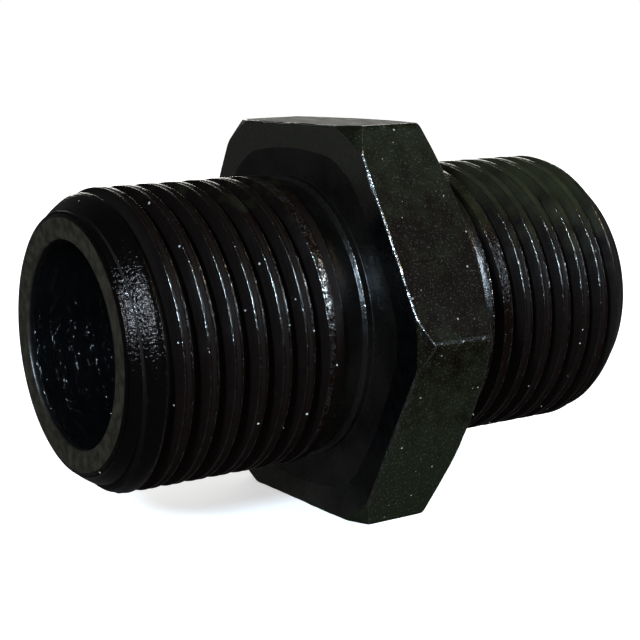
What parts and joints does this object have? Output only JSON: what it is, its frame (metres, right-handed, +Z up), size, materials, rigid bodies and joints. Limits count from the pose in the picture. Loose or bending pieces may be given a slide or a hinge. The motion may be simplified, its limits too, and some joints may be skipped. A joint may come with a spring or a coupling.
{
  "type": "hex nipple",
  "caption": "Straight pipe coupling in blackened steel: a parallel male thread on each side of a hexagon, and a bore from end to end.",
  "frame": {"origin": "on the thread axis, halfway between the two end faces", "axes": "+X along the thread axis, from the longer threaded end to the shorter one; +Z up, square to the hexagon's top flat; +Y towards a corner of the hexagon"},
  "size_m": [0.042, 0.0324, 0.028],
  "materials": {
    "blackened_steel": "black oxide, oiled, worn bright along the edges"
  },
  "bodies": {
    "root": {"nipple_body": "blackened_steel"}
  },
  "joints": []
}
